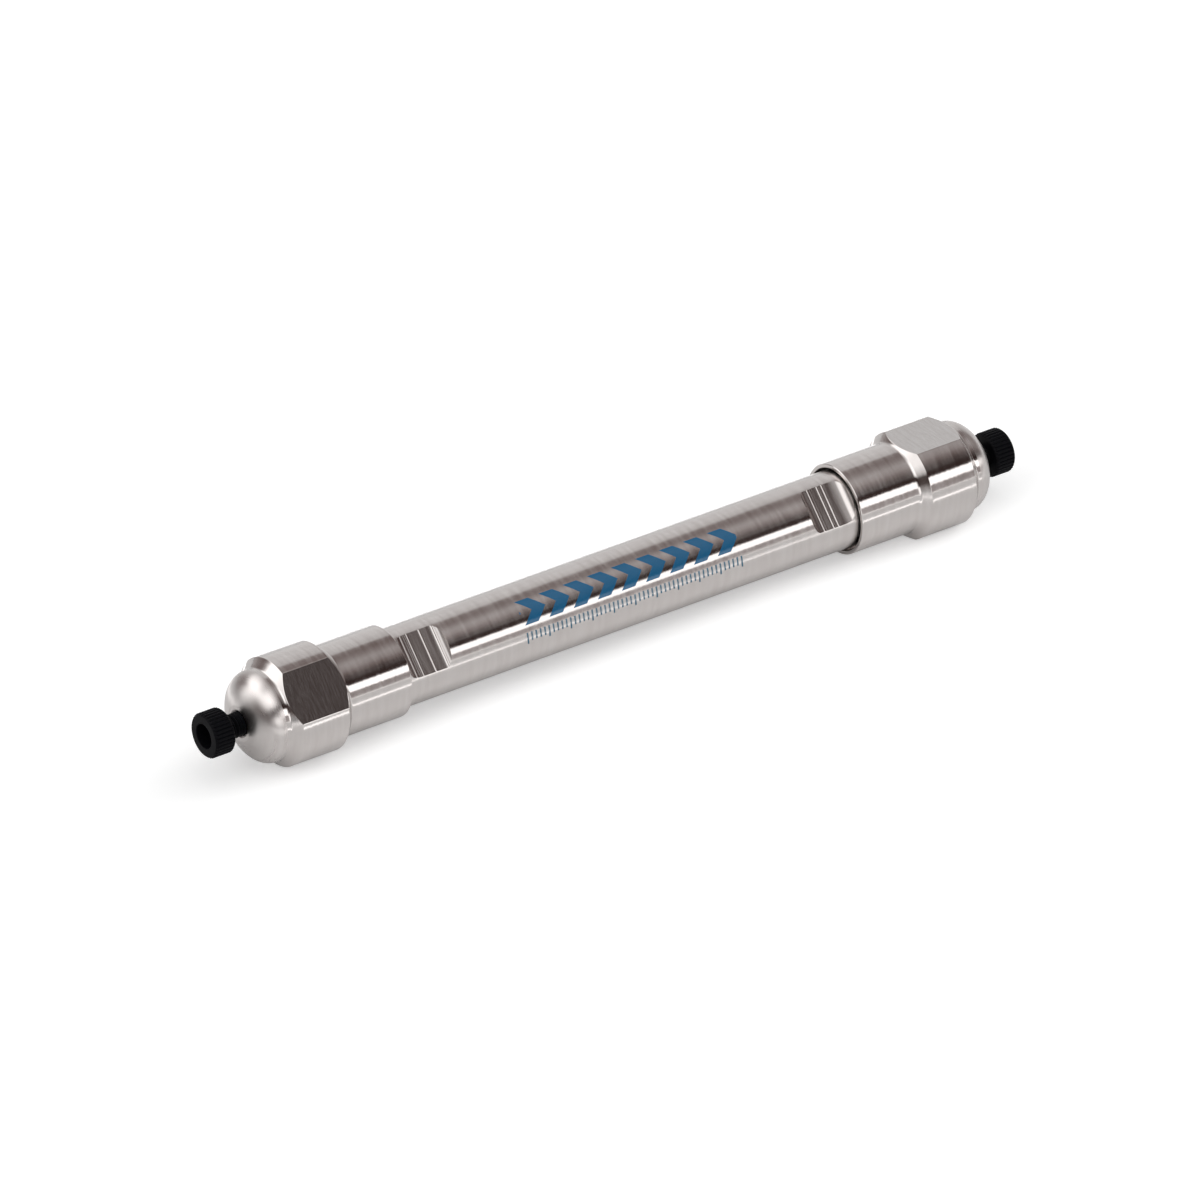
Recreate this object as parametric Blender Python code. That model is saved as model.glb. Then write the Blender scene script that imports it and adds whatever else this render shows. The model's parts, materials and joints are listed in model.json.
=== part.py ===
"""Packed steel column for liquid chromatography, with a threaded plug in the port of each end nut.

The column lies on its side as it comes to rest, with its inlet at -X and its outlet at +X.
Units are metres. Along the column, "outward" is the distance from the tube's middle
towards the nearer end, so both ends use the same profiles.
"""

import math

import bmesh
import bpy
from mathutils import Vector

MM = 0.001

# Tube: a thick bar with a small bore and a threaded neck at each end
TUBE_LENGTH = 150.0 * MM
TUBE_DIAMETER = 15.875 * MM
BORE_DIAMETER = 4.6 * MM
NECK_STEP = 0.79 * MM
NECK_CHAMFER = 0.8 * MM
NECK_GROOVE_WIDTH = 1.5 * MM
NECK_GROOVE_DEPTH = 0.7 * MM
TUBE_EDGE_CHAMFER = 0.3 * MM

# Pairs of wrench flats milled across the tube beside each nut
TUBE_FLAT_DEPTH = 1.44 * MM
TUBE_FLAT_FLOOR = 5.6 * MM
MILL_CORNER_RADIUS = 2.5 * MM
FLAT_TO_COLLAR = 0.1 * MM
TUBE_FLAT_ELEVATION = math.radians(45.0)

# Frit, and the sealing ring that it is pressed into
FRIT_DIAMETER = 6.4 * MM
FRIT_THICKNESS = 2.0 * MM
RING_WALL = 1.9 * MM
RING_SEAT_DEPTH = 1.0 * MM

# End nut: collar, wrench section with two flats, and domed nose, in one piece
MOUTH_CLEARANCE = 0.41 * MM
MOUTH_DEPTH = 5.0 * MM
MOUTH_CHAMFER = 0.25 * MM
COLLAR_WALL = 0.8 * MM
COLLAR_LENGTH = 14.0 * MM
SHOULDER_STEP = 1.72 * MM
SHOULDER_LENGTH = 1.6 * MM
SHOULDER_FILLET = 0.9 * MM
WRENCH_LENGTH = 10.4 * MM
NUT_FLAT_ABOVE_COLLAR = 0.375 * MM
FRONT_CHAMFER_STEP = 1.70 * MM
FRONT_CHAMFER_LENGTH = 1.64 * MM
NOSE_FILLET = 0.58 * MM
NOSE_CYLINDER_LENGTH = 0.88 * MM
DOME_HEIGHT = 5.4 * MM
LAND_DIAMETER = 7.2 * MM
SHOULDER_CLEARANCE = 0.6 * MM
RUN_OUT_WIDTH = 1.6 * MM
RUN_OUT_DEPTH = 0.25 * MM
INLET_NUT_ELEVATION = math.radians(42.0)
OUTLET_NUT_ELEVATION = math.radians(90.0)

# Port in the nose, which the plug or a tubing fitting screws into
PORT_DEPTH = 5.17 * MM
PORT_CHAMFER = 0.35 * MM
POCKET_DIAMETER = 1.7 * MM
POCKET_DEPTH = 0.6 * MM
CAPILLARY_DIAMETER = 0.8 * MM
END_WALL = 1.3 * MM

# Plug: knurled head with a round recess, threaded shank and coned tip
HEAD_DIAMETER = 9.0 * MM
HEAD_LENGTH = 4.45 * MM
HEAD_CHAMFER = 0.4 * MM
RECESS_DIAMETER = 5.0 * MM
RECESS_DEPTH = 3.3 * MM
SERRATION_COUNT = 36
SERRATION_DEPTH = 0.22 * MM
SHANK_DIAMETER = 4.8 * MM
SHANK_LENGTH = 8.7 * MM
TIP_DIAMETER = 1.8 * MM
THREAD_PITCH = 0.794 * MM
INLET_PLUG_TURNS_OUT = 1.5

# Clearances between separate pieces
FIT_GAP = 0.15 * MM
THREAD_GAP = 0.3 * MM
CONE_GAP = 0.3 * MM

# Facets round a turned piece and along a quarter of a small arc
TURNED_FACETS = 60
INNER_FACETS = 36
FILLET_FACETS = 2
DOME_FACETS = 7
CORNER_FACETS = 7

# Radii that follow from the sizes above
TUBE_RADIUS = TUBE_DIAMETER / 2
BORE_RADIUS = BORE_DIAMETER / 2
NECK_RADIUS = TUBE_RADIUS - NECK_STEP
TUBE_FLAT_HEIGHT = TUBE_RADIUS - TUBE_FLAT_DEPTH
MILL_RUN = math.sqrt(MILL_CORNER_RADIUS**2 - (MILL_CORNER_RADIUS - TUBE_FLAT_DEPTH) ** 2)
FRIT_RADIUS = FRIT_DIAMETER / 2
RING_BORE_RADIUS = FRIT_RADIUS + FIT_GAP
RING_RADIUS = RING_BORE_RADIUS + RING_WALL
MOUTH_RADIUS = TUBE_RADIUS + MOUTH_CLEARANCE
COLLAR_RADIUS = MOUTH_RADIUS + COLLAR_WALL
WRENCH_RADIUS = COLLAR_RADIUS + SHOULDER_STEP
NUT_FLAT_HEIGHT = COLLAR_RADIUS + NUT_FLAT_ABOVE_COLLAR
NOSE_RADIUS = WRENCH_RADIUS - FRONT_CHAMFER_STEP
LAND_RADIUS = LAND_DIAMETER / 2
LAND_DROP = DOME_HEIGHT * (1.0 - math.sqrt(1.0 - (LAND_RADIUS / NOSE_RADIUS) ** 2))
NUT_THREAD_RADIUS = NECK_RADIUS + THREAD_GAP
SHANK_RADIUS = SHANK_DIAMETER / 2
TIP_RADIUS = TIP_DIAMETER / 2
PORT_RADIUS = SHANK_RADIUS + FIT_GAP
POCKET_RADIUS = POCKET_DIAMETER / 2
CAPILLARY_RADIUS = CAPILLARY_DIAMETER / 2
HEAD_RADIUS = HEAD_DIAMETER / 2

# Outward places in the nut's own frame, which starts at the seat of the sealing ring
NUT_FLOOR = -RING_SEAT_DEPTH
POCKET_FLOOR = END_WALL
CONE_END = POCKET_FLOOR + POCKET_DEPTH
CONE_START = CONE_END + PORT_RADIUS - POCKET_RADIUS
LAND = CONE_START + PORT_DEPTH
DOME_POLE = LAND + LAND_DROP
DOME_BASE = DOME_POLE - DOME_HEIGHT
CHAMFER_END = DOME_BASE - NOSE_CYLINDER_LENGTH
WRENCH_END = CHAMFER_END - FRONT_CHAMFER_LENGTH
WRENCH_START = WRENCH_END - WRENCH_LENGTH
COLLAR_END = WRENCH_START - SHOULDER_LENGTH
MOUTH = COLLAR_END - COLLAR_LENGTH

# Outward places in the column's frame, which starts at the tube's middle
TUBE_END = TUBE_LENGTH / 2
RING_START = TUBE_END + FIT_GAP
NUT_SEAT = RING_START + FRIT_THICKNESS + FIT_GAP
NUT_MOUTH = NUT_SEAT + MOUTH
TUBE_SHOULDER = NUT_MOUTH + MOUTH_DEPTH - SHOULDER_CLEARANCE
TUBE_FLAT_MIDDLE = NUT_MOUTH - FLAT_TO_COLLAR - MILL_RUN - TUBE_FLAT_FLOOR / 2

# The plug's tip stands off the port's cone by CONE_GAP, square to the cone
TIP_IN_NUT = CONE_END - POCKET_RADIUS + TIP_RADIUS + CONE_GAP * math.sqrt(2)

COLOURS = {
    "steel": ((0.63, 0.61, 0.59), 0.28, 1.0),
    "sintered_steel": ((0.42, 0.41, 0.40), 0.75, 1.0),
    "seal_polymer": ((0.63, 0.50, 0.33), 0.50, 0.0),
    "packing": ((0.87, 0.85, 0.79), 0.90, 0.0),
    "black_polymer": ((0.016, 0.016, 0.018), 0.48, 0.0),
}


def clear_scene():
    for item in list(bpy.data.objects):
        bpy.data.objects.remove(item, do_unlink=True)


def make_material(object_name, look):
    """One Principled material for each object, with the colour, roughness and metallic value of its look."""
    colour, roughness, metallic = COLOURS[look]
    material = bpy.data.materials.new(object_name + "_" + look)
    material.use_nodes = True
    shader = material.node_tree.nodes["Principled BSDF"]
    shader.inputs["Base Color"].default_value = (*colour, 1.0)
    shader.inputs["Roughness"].default_value = roughness
    shader.inputs["Metallic"].default_value = metallic
    material.diffuse_color = (*colour, 1.0)
    return material


def turned_mesh(name, profile, facets, closed=True):
    """Spins a profile of (outward, radius) points round X. A closed profile joins its last point to its first."""
    bm = bmesh.new()
    points = [bm.verts.new((outward, 0.0, radius)) for outward, radius in profile]
    edges = [bm.edges.new(pair) for pair in zip(points, points[1:])]
    if closed:
        edges.append(bm.edges.new((points[-1], points[0])))
    bmesh.ops.spin(
        bm,
        geom=points + edges,
        cent=(0.0, 0.0, 0.0),
        axis=(1.0, 0.0, 0.0),
        angle=2 * math.pi,
        steps=facets,
        use_merge=True,
    )
    bmesh.ops.remove_doubles(bm, verts=bm.verts, dist=0.001 * MM)
    bmesh.ops.recalc_face_normals(bm, faces=bm.faces)
    mesh = bpy.data.meshes.new(name)
    bm.to_mesh(mesh)
    bm.free()
    return mesh


def shade(mesh):
    mesh.shade_smooth()
    mesh.set_sharp_from_angle(angle=math.radians(25.0))


def place(name, mesh, parent, look):
    """Makes the named object on a mesh, with a material of its own, and parents it."""
    item = bpy.data.objects.new(name, mesh)
    bpy.context.scene.collection.objects.link(item)
    item.parent = parent
    if not mesh.materials:
        mesh.materials.append(None)
    item.material_slots[0].link = "OBJECT"
    item.material_slots[0].material = make_material(name, look)
    return item


def arc(centre, radius, start, end, facets):
    """Points on an arc from angle start to angle end, both ends included, about a centre of (outward, radius)."""
    points = []
    for step in range(facets + 1):
        angle = start + (end - start) * step / facets
        points.append((centre[0] + radius * math.cos(angle), centre[1] + radius * math.sin(angle)))
    return points


def inlet_back_out():
    """How far the inlet's plug stands out of its seated place."""
    return INLET_PLUG_TURNS_OUT * THREAD_PITCH


def make_axis():
    """The empty on the column's axis, at the height and tilt that the column comes to rest at.

    The outlet nut lies on a flat and the inlet nut on its round, so the axis falls a little
    from the round's inner edge to the flat's outer end. The scene's origin lies on the ground
    under the middle of the overall length.
    """
    flat_reach = WRENCH_END + FRONT_CHAMFER_LENGTH * (WRENCH_RADIUS - NUT_FLAT_HEIGHT) / FRONT_CHAMFER_STEP
    high_contact = Vector((-(NUT_SEAT + WRENCH_START), -WRENCH_RADIUS))
    low_contact = Vector((NUT_SEAT + flat_reach, -NUT_FLAT_HEIGHT))
    run = low_contact - high_contact
    tilt = math.atan2(run.y, run.x)
    height = low_contact.x * math.sin(tilt) - low_contact.y * math.cos(tilt)
    axis = bpy.data.objects.new("column_axis", None)
    bpy.context.scene.collection.objects.link(axis)
    axis.rotation_euler = (0.0, tilt, 0.0)
    axis.location = (inlet_back_out() / 2, 0.0, height)
    return axis


def end_turn(side, elevation):
    """Rotation of a piece at the end on this side, whose local +Z should point to this elevation above -Y."""
    if side > 0:
        return (math.pi / 2 - elevation, 0.0, 0.0)
    return (elevation - math.pi / 2, 0.0, math.pi)


def tube_end_profile():
    """Outer profile of half the tube, from its shoulder edge to the mouth of its bore."""
    groove_radius = NECK_RADIUS - NECK_GROOVE_DEPTH
    groove_end = TUBE_SHOULDER + NECK_GROOVE_WIDTH
    return [
        (TUBE_SHOULDER - TUBE_EDGE_CHAMFER, TUBE_RADIUS),
        (TUBE_SHOULDER, TUBE_RADIUS - TUBE_EDGE_CHAMFER),
        (TUBE_SHOULDER, groove_radius),
        (groove_end, groove_radius),
        (groove_end + NECK_GROOVE_DEPTH, NECK_RADIUS),
        (TUBE_END - NECK_CHAMFER, NECK_RADIUS),
        (TUBE_END, NECK_RADIUS - NECK_CHAMFER),
        (TUBE_END, BORE_RADIUS),
    ]


def flat_cutter_mesh():
    """A pair of opposite milling passes across the tube, floor down, with the cutter's rounded corners."""
    half_floor = TUBE_FLAT_FLOOR / 2
    half_slot = half_floor + MILL_CORNER_RADIUS
    corner_height = TUBE_FLAT_HEIGHT + MILL_CORNER_RADIUS
    top = corner_height + TUBE_RADIUS
    right = arc((half_floor, corner_height), MILL_CORNER_RADIUS, -math.pi / 2, 0.0, CORNER_FACETS)
    left = arc((-half_floor, corner_height), MILL_CORNER_RADIUS, math.pi, 1.5 * math.pi, CORNER_FACETS)
    outline = left + right + [(half_slot, top), (-half_slot, top)]
    bm = bmesh.new()
    for direction in (1.0, -1.0):
        corners = [bm.verts.new((x, -TUBE_DIAMETER, direction * z)) for x, z in outline]
        face = bm.faces.new(corners)
        swept = bmesh.ops.extrude_face_region(bm, geom=[face])["geom"]
        moved = [element for element in swept if isinstance(element, bmesh.types.BMVert)]
        bmesh.ops.translate(bm, verts=moved, vec=(0.0, 2 * TUBE_DIAMETER, 0.0))
    bmesh.ops.recalc_face_normals(bm, faces=bm.faces)
    mesh = bpy.data.meshes.new("tube_flat_cutter")
    bm.to_mesh(mesh)
    bm.free()
    return mesh


def add_cutter(target, name, mesh):
    """Cuts the target with a wire-drawn helper that moves with it."""
    cutter = bpy.data.objects.new(name, mesh)
    bpy.context.scene.collection.objects.link(cutter)
    cutter.parent = target
    cutter.hide_render = True
    cutter.display_type = "WIRE"
    cut = target.modifiers.new(name, "BOOLEAN")
    cut.operation = "DIFFERENCE"
    cut.solver = "EXACT"
    cut.object = cutter
    return cutter


def make_tube(axis):
    outlet_half = tube_end_profile()
    inlet_half = [(-outward, radius) for outward, radius in reversed(outlet_half)]
    mesh = turned_mesh("column_tube", inlet_half + outlet_half, TURNED_FACETS)
    shade(mesh)
    tube = place("column_tube", mesh, axis, "steel")
    cutter_mesh = flat_cutter_mesh()
    for end, side in (("inlet", -1), ("outlet", 1)):
        cutter = add_cutter(tube, end + "_tube_flat_cutter", cutter_mesh)
        cutter.location = (side * TUBE_FLAT_MIDDLE, 0.0, 0.0)
        cutter.rotation_euler = end_turn(1, TUBE_FLAT_ELEVATION)


def make_packed_bed(axis):
    radius = BORE_RADIUS - FIT_GAP
    profile = [(-TUBE_END, 0.0), (-TUBE_END, radius), (TUBE_END, radius), (TUBE_END, 0.0)]
    mesh = turned_mesh("packed_bed", profile, INNER_FACETS, closed=False)
    shade(mesh)
    place("packed_bed", mesh, axis, "packing")


def frit_mesh():
    profile = [(0.0, 0.0), (0.0, FRIT_RADIUS), (FRIT_THICKNESS, FRIT_RADIUS), (FRIT_THICKNESS, 0.0)]
    mesh = turned_mesh("frit", profile, INNER_FACETS, closed=False)
    shade(mesh)
    return mesh


def ring_mesh():
    profile = [
        (0.0, RING_BORE_RADIUS),
        (0.0, RING_RADIUS),
        (FRIT_THICKNESS, RING_RADIUS),
        (FRIT_THICKNESS, RING_BORE_RADIUS),
    ]
    mesh = turned_mesh("frit_ring", profile, INNER_FACETS)
    shade(mesh)
    return mesh


def dome_points():
    """A quarter ellipse from the nose's cylinder towards the pole, up to the edge of the port's land."""
    land_angle = math.acos(LAND_RADIUS / NOSE_RADIUS)
    points = []
    for step in range(DOME_FACETS + 1):
        angle = land_angle * step / DOME_FACETS
        points.append((DOME_BASE + DOME_HEIGHT * math.sin(angle), NOSE_RADIUS * math.cos(angle)))
    return points


def nut_outer_profile():
    """From the collar's mouth, over the shoulder, wrench section, front chamfer and dome, to the port's land."""
    rise = math.atan2(SHOULDER_STEP, SHOULDER_LENGTH)
    setback = SHOULDER_FILLET * math.tan(rise / 2)
    centre = (COLLAR_END - setback, COLLAR_RADIUS + SHOULDER_FILLET)
    shoulder_fillet = arc(centre, SHOULDER_FILLET, -math.pi / 2, rise - math.pi / 2, FILLET_FACETS)
    slope = math.atan2(FRONT_CHAMFER_STEP, FRONT_CHAMFER_LENGTH)
    setback = NOSE_FILLET * math.tan(slope / 2)
    centre = (CHAMFER_END + setback, NOSE_RADIUS + NOSE_FILLET)
    nose_fillet = arc(centre, NOSE_FILLET, -math.pi / 2 - slope, -math.pi / 2, FILLET_FACETS)
    return [
        (MOUTH, COLLAR_RADIUS - MOUTH_CHAMFER),
        (MOUTH + MOUTH_CHAMFER, COLLAR_RADIUS),
        *shoulder_fillet,
        (WRENCH_START, WRENCH_RADIUS),
        (WRENCH_END, WRENCH_RADIUS),
        *nose_fillet,
        *dome_points(),
    ]


def nut_inner_profile():
    """From the port's mouth, through its cone and the capillary hole, to the threaded bore and the collar's mouth."""
    run_out_radius = NUT_THREAD_RADIUS + RUN_OUT_DEPTH
    run_out_start = NUT_FLOOR - RUN_OUT_WIDTH
    bore_start = MOUTH + MOUTH_DEPTH
    return [
        (LAND, PORT_RADIUS + PORT_CHAMFER),
        (LAND - PORT_CHAMFER, PORT_RADIUS),
        (CONE_START, PORT_RADIUS),
        (CONE_END, POCKET_RADIUS),
        (POCKET_FLOOR, POCKET_RADIUS),
        (POCKET_FLOOR, CAPILLARY_RADIUS),
        (0.0, CAPILLARY_RADIUS),
        (0.0, RING_RADIUS + FIT_GAP),
        (NUT_FLOOR, RING_RADIUS + FIT_GAP),
        (NUT_FLOOR, run_out_radius),
        (run_out_start, run_out_radius),
        (run_out_start, NUT_THREAD_RADIUS),
        (bore_start, NUT_THREAD_RADIUS),
        (bore_start, MOUTH_RADIUS),
        (MOUTH + MOUTH_CHAMFER, MOUTH_RADIUS),
        (MOUTH, MOUTH_RADIUS + MOUTH_CHAMFER),
    ]


def slab_cutter_mesh():
    """Two slabs that leave the wrench section's flats, longer and wider than the nut."""
    length = DOME_POLE - MOUTH
    middle = (DOME_POLE + MOUTH) / 2
    bm = bmesh.new()
    for direction in (1.0, -1.0):
        made = bmesh.ops.create_cube(bm, size=1.0)["verts"]
        bmesh.ops.scale(bm, verts=made, vec=(2 * length, 4 * WRENCH_RADIUS, WRENCH_RADIUS))
        lift = direction * (NUT_FLAT_HEIGHT + WRENCH_RADIUS / 2)
        bmesh.ops.translate(bm, verts=made, vec=(middle, 0.0, lift))
    mesh = bpy.data.meshes.new("nut_flat_cutter")
    bm.to_mesh(mesh)
    bm.free()
    return mesh


def serrate(mesh):
    """Presses every second row of the head's knurled band in, which leaves straight ridges."""
    for vertex in mesh.vertices:
        angle = math.atan2(vertex.co.y, vertex.co.z)
        row = round(angle / math.pi * SERRATION_COUNT)
        radius = math.hypot(vertex.co.y, vertex.co.z)
        if radius > HEAD_RADIUS - SERRATION_DEPTH / 2 and row % 2:
            vertex.co.y *= (HEAD_RADIUS - SERRATION_DEPTH) / HEAD_RADIUS
            vertex.co.z *= (HEAD_RADIUS - SERRATION_DEPTH) / HEAD_RADIUS


def plug_mesh():
    """Coned tip at the origin, then the shank, the knurled head and the recess in its outer face."""
    head_start = SHANK_LENGTH
    head_end = SHANK_LENGTH + HEAD_LENGTH
    recess_radius = RECESS_DIAMETER / 2
    recess_floor = head_end - RECESS_DEPTH
    profile = [
        (0.0, 0.0),
        (0.0, TIP_RADIUS),
        (SHANK_RADIUS - TIP_RADIUS, SHANK_RADIUS),
        (head_start, SHANK_RADIUS),
        (head_start, HEAD_RADIUS - HEAD_CHAMFER),
        (head_start + HEAD_CHAMFER, HEAD_RADIUS),
        (head_end - HEAD_CHAMFER, HEAD_RADIUS),
        (head_end, HEAD_RADIUS - HEAD_CHAMFER),
        (head_end, recess_radius),
        (recess_floor, recess_radius),
        (recess_floor, 0.0),
    ]
    mesh = turned_mesh("plug", profile, 2 * SERRATION_COUNT, closed=False)
    serrate(mesh)
    shade(mesh)
    return mesh


def make_end_pieces(axis):
    """The frit, sealing ring, end nut and plug at each end. The inlet's plug is unscrewed a little."""
    shared_frit = frit_mesh()
    shared_ring = ring_mesh()
    shared_nut = turned_mesh("end_nut", nut_outer_profile() + nut_inner_profile(), TURNED_FACETS)
    shade(shared_nut)
    shared_slabs = slab_cutter_mesh()
    shared_plug = plug_mesh()
    ends = (
        ("inlet", -1, INLET_NUT_ELEVATION, inlet_back_out()),
        ("outlet", 1, OUTLET_NUT_ELEVATION, 0.0),
    )
    for end, side, elevation, backed_out in ends:
        frit = place(end + "_frit", shared_frit, axis, "sintered_steel")
        ring = place(end + "_frit_ring", shared_ring, axis, "seal_polymer")
        nut = place(end + "_end_nut", shared_nut, axis, "steel")
        plug = place(end + "_plug", shared_plug, axis, "black_polymer")
        frit.location = (side * RING_START, 0.0, 0.0)
        ring.location = (side * RING_START, 0.0, 0.0)
        nut.location = (side * NUT_SEAT, 0.0, 0.0)
        plug.location = (side * (NUT_SEAT + TIP_IN_NUT + backed_out), 0.0, 0.0)
        for piece in (frit, ring, nut, plug):
            piece.rotation_euler = end_turn(side, elevation)
        add_cutter(nut, end + "_nut_flat_cutter", shared_slabs)


def main():
    clear_scene()
    axis = make_axis()
    make_tube(axis)
    make_packed_bed(axis)
    make_end_pieces(axis)


main()
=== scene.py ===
import json
import math

import bmesh
import bpy
from mathutils import Matrix, Vector


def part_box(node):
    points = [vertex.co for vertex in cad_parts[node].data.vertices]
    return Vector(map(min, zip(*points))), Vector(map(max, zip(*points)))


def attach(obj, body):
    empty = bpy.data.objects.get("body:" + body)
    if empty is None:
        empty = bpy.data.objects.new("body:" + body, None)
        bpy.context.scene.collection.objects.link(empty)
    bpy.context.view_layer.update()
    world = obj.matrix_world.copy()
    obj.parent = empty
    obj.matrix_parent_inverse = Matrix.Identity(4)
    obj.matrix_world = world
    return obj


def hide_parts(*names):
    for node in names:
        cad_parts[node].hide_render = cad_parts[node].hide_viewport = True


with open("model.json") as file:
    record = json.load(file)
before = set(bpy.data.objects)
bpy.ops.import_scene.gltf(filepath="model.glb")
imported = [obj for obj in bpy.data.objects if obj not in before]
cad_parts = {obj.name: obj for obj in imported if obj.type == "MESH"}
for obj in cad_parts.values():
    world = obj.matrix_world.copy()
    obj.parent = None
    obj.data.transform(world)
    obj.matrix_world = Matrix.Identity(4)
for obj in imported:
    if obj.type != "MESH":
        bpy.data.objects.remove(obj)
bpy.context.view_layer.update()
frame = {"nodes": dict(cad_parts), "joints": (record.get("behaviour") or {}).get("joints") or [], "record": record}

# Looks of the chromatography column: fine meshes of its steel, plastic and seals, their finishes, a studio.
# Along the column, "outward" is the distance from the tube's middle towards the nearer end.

MM = 0.001

# Tube
TUBE_LENGTH = 150.0 * MM
TUBE_RADIUS = 7.9375 * MM
BORE_RADIUS = 2.3 * MM
TUBE_EDGE_ROUND = 0.25 * MM
NECK_CREST_RADIUS = 7.2 * MM
NECK_THREAD_DEPTH = 0.45 * MM
NECK_THREAD_PITCH = 1.0 * MM
NECK_CHAMFER = 0.8 * MM
NECK_ROUND = 0.1 * MM
NECK_GROOVE_WIDTH = 1.5 * MM
NECK_GROOVE_RADIUS = 6.4475 * MM
NECK_GROOVE_ROUND = 0.3 * MM

# Pairs of wrench flats milled across the tube, which sweep up a little at their outward end
TUBE_FLAT_HEIGHT = 6.4975 * MM
TUBE_FLAT_START = 43.8 * MM
TUBE_FLAT_END = 51.0 * MM
INNER_MILL_CORNER = 1.7 * MM
OUTER_MILL_CORNER = 1.42 * MM
TUBE_FLAT_SWEEP_START = 49.2 * MM
TUBE_FLAT_SWEEP_RADIUS = 12.0 * MM
CUTTER_REACH = 2 * TUBE_RADIUS

# Ridges that the milling cutter left on each flat: (outward, width, height)
INLET_TOOL_MARKS = (
    (50.45 * MM, 0.36 * MM, 0.06 * MM),
    (49.75 * MM, 0.30 * MM, 0.02 * MM),
    (49.35 * MM, 0.24 * MM, 0.015 * MM),
    (48.92 * MM, 0.36 * MM, 0.05 * MM),
    (46.10 * MM, 0.42 * MM, 0.07 * MM),
    (43.30 * MM, 0.32 * MM, 0.07 * MM),
    (42.85 * MM, 0.30 * MM, 0.08 * MM),
)
OUTLET_TOOL_MARKS = (
    (44.66 * MM, 0.36 * MM, 0.06 * MM),
    (45.25 * MM, 0.24 * MM, 0.015 * MM),
    (46.88 * MM, 0.38 * MM, 0.07 * MM),
    (47.30 * MM, 0.20 * MM, 0.01 * MM),
    (48.02 * MM, 0.38 * MM, 0.07 * MM),
    (51.55 * MM, 0.24 * MM, 0.03 * MM),
)

# Broken rim of each wrench flat, on the tube and the nuts, where it turns by more than these degrees
RIM_CHAMFER = 0.13 * MM
RIM_DEGREES = 8.0

# End nut
MOUTH_RADIUS = 8.3475 * MM
MOUTH_DEPTH = 5.0 * MM
MOUTH_ROUND = 0.2 * MM
COLLAR_RADIUS = 9.1475 * MM
COLLAR_LENGTH = 14.0 * MM
SHOULDER_LENGTH = 1.6 * MM
SHOULDER_FILLET = 0.9 * MM
WRENCH_RADIUS = 10.8675 * MM
WRENCH_LENGTH = 10.4 * MM
WRENCH_ROUND = 0.12 * MM
NUT_FLAT_HEIGHT = 9.5225 * MM
FRONT_CHAMFER_LENGTH = 1.64 * MM
NOSE_RADIUS = 9.1675 * MM
NOSE_FILLET = 0.58 * MM
NOSE_CYLINDER_LENGTH = 0.88 * MM
DOME_HEIGHT = 5.4 * MM
LAND_RADIUS = 3.6 * MM
RUN_OUT_WIDTH = 1.6 * MM
RUN_OUT_RADIUS = 7.75 * MM
NUT_CREST_RADIUS = 7.3 * MM
NUT_THREAD_DEPTH = 0.4 * MM

# Port
PORT_CREST_RADIUS = 2.48 * MM
PORT_THREAD_DEPTH = 0.3 * MM
PORT_RADIUS = 2.55 * MM
PORT_DEPTH = 5.17 * MM
PORT_CHAMFER = 0.35 * MM
POCKET_RADIUS = 0.85 * MM
POCKET_DEPTH = 0.6 * MM
CAPILLARY_RADIUS = 0.4 * MM
END_WALL = 1.3 * MM

# Frit and its sealing ring
FRIT_RADIUS = 3.2 * MM
FRIT_THICKNESS = 2.0 * MM
RING_WALL = 1.9 * MM
RING_SEAT_DEPTH = 1.0 * MM
SEAL_ROUND = 0.15 * MM

# Plug
HEAD_RADIUS = 4.5 * MM
HEAD_LENGTH = 4.45 * MM
HEAD_CHAMFER = 0.4 * MM
HEAD_ROUND = 0.12 * MM
RECESS_RADIUS = 2.5 * MM
RECESS_DEPTH = 3.3 * MM
SERRATION_COUNT = 36
SERRATION_DEPTH = 0.26 * MM
SERRATION_FULLNESS = 0.7
SHANK_RADIUS = 2.4 * MM
SHANK_ROUND = 0.1 * MM
SHANK_THREAD_DEPTH = 0.4 * MM
SHANK_LENGTH = 8.7 * MM
SHANK_RELIEF_LENGTH = 0.5 * MM
TIP_RADIUS = 0.9 * MM
TIP_ROUND = 0.15 * MM
THREAD_PITCH = 0.794 * MM
INLET_PLUG_TURNS_OUT = 1.5

# Form of every screw thread: how steep its flanks are for its depth, and how flat its crest and root are
THREAD_STEEPNESS = 1.3
THREAD_FLAT = 0.15

# Clearances between pieces
FIT_GAP = 0.15 * MM
CONE_GAP = 0.3 * MM
SHOULDER_CLEARANCE = 0.6 * MM

# How fine the meshes are, and the degrees from which an edge stays sharp
TURNED_COLUMNS = 192
PLUG_COLUMNS = 8 * SERRATION_COUNT
THREAD_ROWS = 10
ROUND_ROWS = 9
MILL_ROWS = 240
DOME_ROWS = 40
FLOOR_CELLS = 8
STEEL_CREASE = 12.0
PLASTIC_CREASE = 28.0

# A steel piece's materials, by their place in its list
TURNED_FACE = 0
FLAT_FACE = 1
DOME_FACE = 2

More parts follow.
